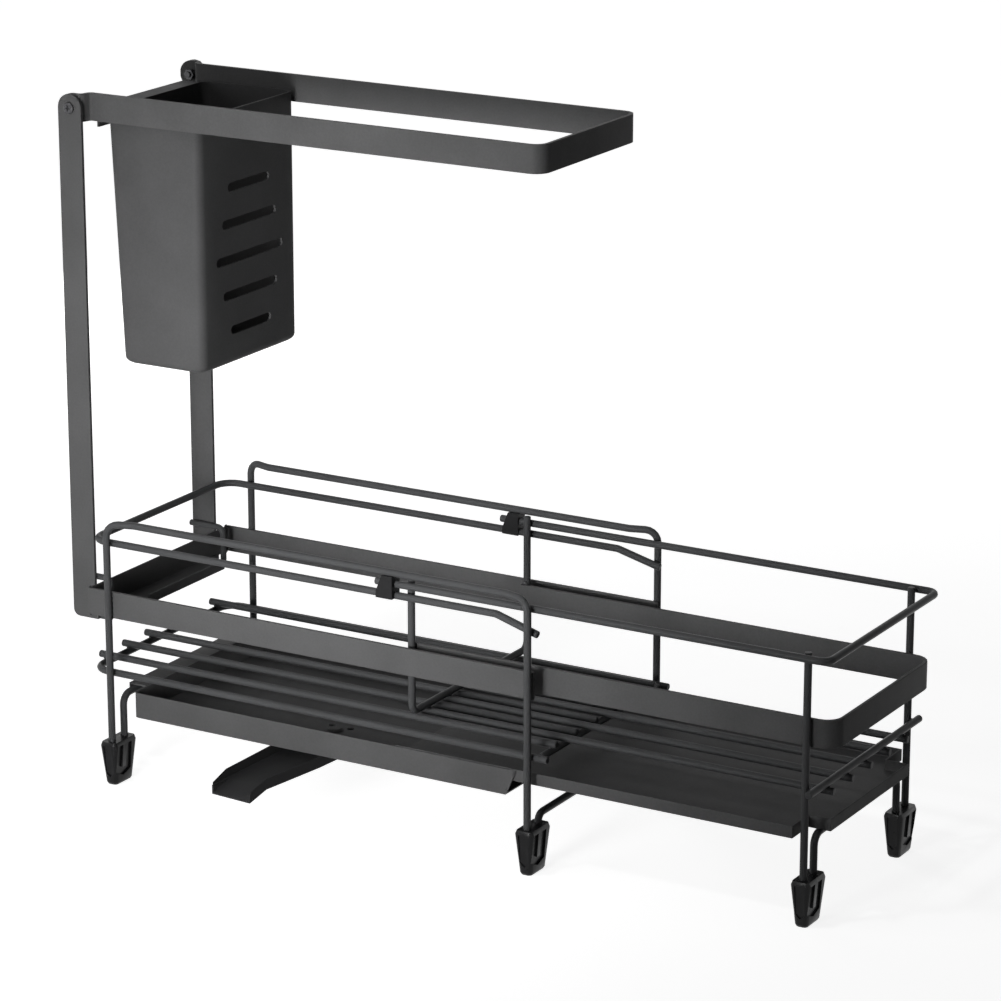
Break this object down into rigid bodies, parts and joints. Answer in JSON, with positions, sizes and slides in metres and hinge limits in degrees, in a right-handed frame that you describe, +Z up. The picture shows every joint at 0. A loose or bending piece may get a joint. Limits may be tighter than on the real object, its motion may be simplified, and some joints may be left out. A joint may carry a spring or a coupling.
{
  "type": "sink organizer",
  "caption": "Extending wire sink rack on rubber-tipped legs, with nested drip trays, a swivelling drain spout, flat-bar uprights, a fold-down arm frame and a slotted hanging bin.",
  "frame": {"origin": "middle of the bounding box on the surface that the feet stand on", "axes": "+X from the uprights towards the end that pulls out, +Y from the spout's side to the back, +Z up"},
  "size_m": [0.4648, 0.1972, 0.3814],
  "materials": {
    "wire_coat": "dark grey powder coat on wire, satin",
    "bar_coat": "dark grey powder coat on flat bar, satin",
    "tray_coat": "dark grey powder coat on thin sheet, satin",
    "bin_coat": "dark grey powder coat on thin sheet, satin",
    "fastener": "black oxide steel",
    "rubber": "smooth black rubber",
    "plastic": "black moulded plastic"
  },
  "bodies": {
    "left_frame": {"left_front_leg_wire": "wire_coat", "left_back_leg_wire": "wire_coat", "left_portal": "wire_coat", "middle_portal": "wire_coat", "guard_rail": "wire_coat", "left_floor_perimeter": "wire_coat", "left_floor_cross_wire": "wire_coat", "left_floor_wire_1": "wire_coat", "left_floor_wire_2": "wire_coat", "left_floor_wire_3": "wire_coat", "left_floor_wire_4": "wire_coat", "left_floor_wire_5": "wire_coat", "left_floor_wire_6": "wire_coat", "front_keeper_wire": "wire_coat", "back_keeper_wire": "wire_coat", "left_front_bar": "bar_coat", "left_back_bar": "bar_coat", "front_upright": "bar_coat", "back_upright": "bar_coat", "bar_channel": "bar_coat", "left_drip_tray": "tray_coat", "spout_rivet": "fastener", "front_pivot_screw": "fastener", "back_pivot_screw": "fastener", "front_pivot_nut": "fastener", "back_pivot_nut": "fastener", "left_front_foot": "rubber", "left_back_foot": "rubber", "middle_front_foot": "rubber", "middle_back_foot": "rubber"},
    "right_frame": {"right_front_leg_wire": "wire_coat", "right_back_leg_wire": "wire_coat", "right_portal": "wire_coat", "right_top_rail": "wire_coat", "right_post_wire": "wire_coat", "right_cross_wire": "wire_coat", "right_floor_wire_1": "wire_coat", "right_floor_wire_2": "wire_coat", "right_floor_wire_3": "wire_coat", "right_floor_wire_4": "wire_coat", "right_floor_wire_5": "wire_coat", "right_bar": "bar_coat", "right_drip_tray": "tray_coat", "slider_clip_front": "plastic", "slider_clip_back": "plastic", "right_front_foot": "rubber", "right_back_foot": "rubber"},
    "arm": {"arm_frame": "bar_coat", "bin_rod": "wire_coat"},
    "bin": {"hanging_bin": "bin_coat"},
    "spout": {"drain_spout": "tray_coat"}
  },
  "joints": [
    {"name": "frame_slide", "type": "slide", "parent": "left_frame", "child": "right_frame", "axis": [1, 0, 0], "range_m": [-0.14, 0.05]},
    {"name": "arm_fold", "type": "hinge", "parent": "left_frame", "child": "arm", "pos_m": [-0.22485, 0.02346, 0.3739], "axis": [0, 1, 0], "range_deg": [0, 90]},
    {"name": "bin_lift", "type": "slide", "parent": "arm", "child": "bin", "axis": [0, 0, 1], "range_m": [0, 0.04]},
    {"name": "spout_swivel", "type": "hinge", "parent": "left_frame", "child": "spout", "pos_m": [-0.08005, -0.00689, 0.0394], "axis": [0, 0, 1], "continuous": true}
  ]
}
